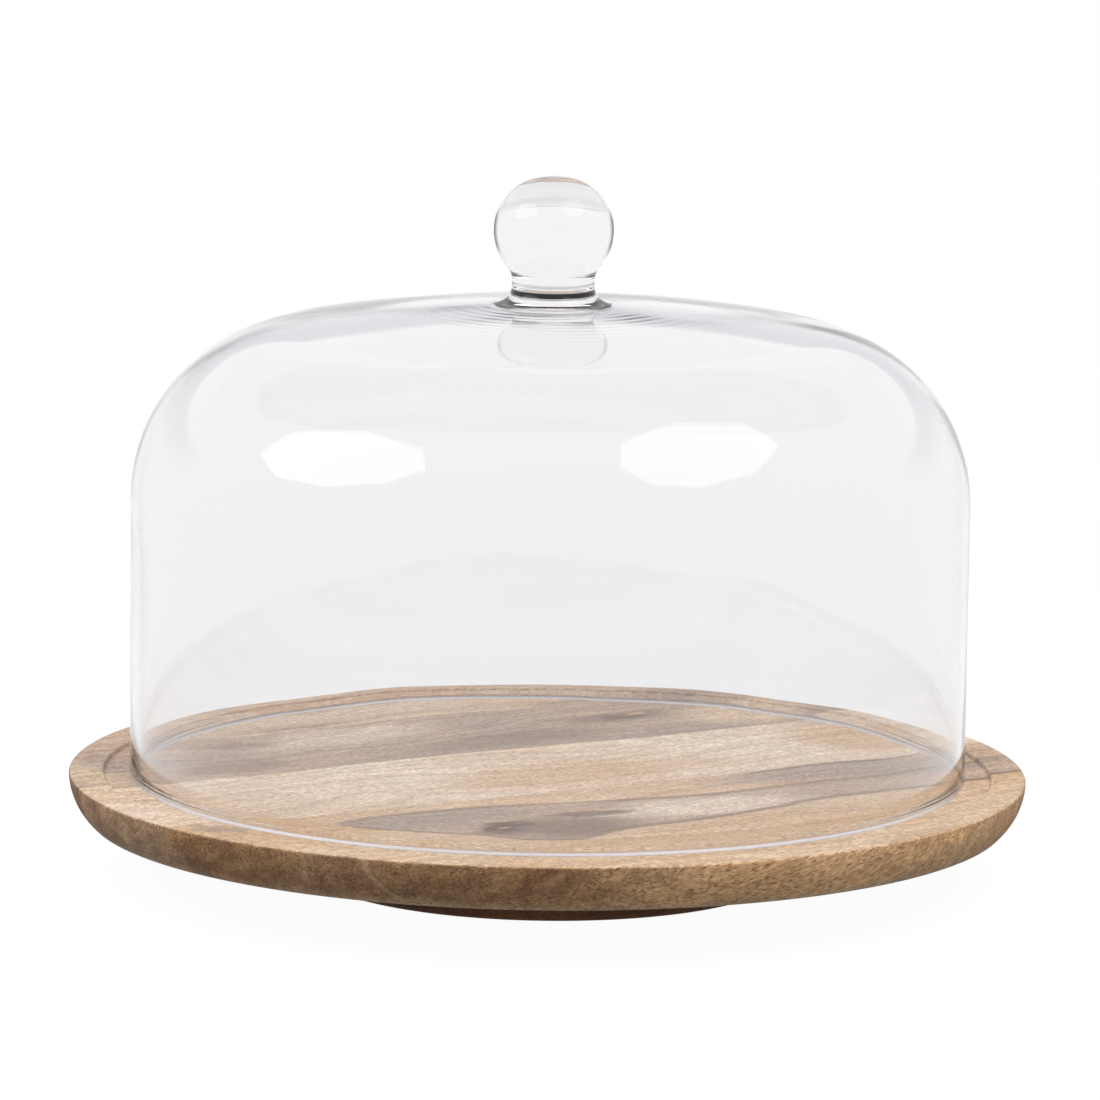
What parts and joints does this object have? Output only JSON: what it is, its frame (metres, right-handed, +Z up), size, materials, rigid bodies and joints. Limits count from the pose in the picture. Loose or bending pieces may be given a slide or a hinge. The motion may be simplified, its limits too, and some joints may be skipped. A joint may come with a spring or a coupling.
{
  "type": "cheese dome",
  "caption": "Round footed wooden serving board with a lift-off clear glass dome that has a solid glass ball knob.",
  "frame": {"origin": "centre of the foot's underside", "axes": "+Z up, along the board's and the dome's shared axis"},
  "size_m": [0.3299, 0.33, 0.2418],
  "materials": {
    "wood_tan": "oiled, satin",
    "wood_grey_brown": "oiled, satin",
    "wood_cream": "oiled, satin",
    "wood_heart": "oiled, satin",
    "wood_golden": "oiled, satin",
    "wood_foot": "oiled, satin",
    "screw_steel": "zinc plated",
    "dome_glass": "clear, fire polished",
    "knob_glass": "clear, fire polished"
  },
  "bodies": {
    "board": {"stave_1": "wood_tan", "stave_2": "wood_grey_brown", "stave_3": "wood_cream", "stave_4": "wood_heart", "stave_5": "wood_golden", "foot": "wood_foot", "foot_screws": "screw_steel"},
    "dome": {"glass_dome": "dome_glass", "glass_knob": "knob_glass"}
  },
  "joints": [
    {"name": "dome_lift", "type": "slide", "parent": "board", "child": "dome", "axis": [0, 0, 1], "range_m": [0, 0.2]}
  ]
}
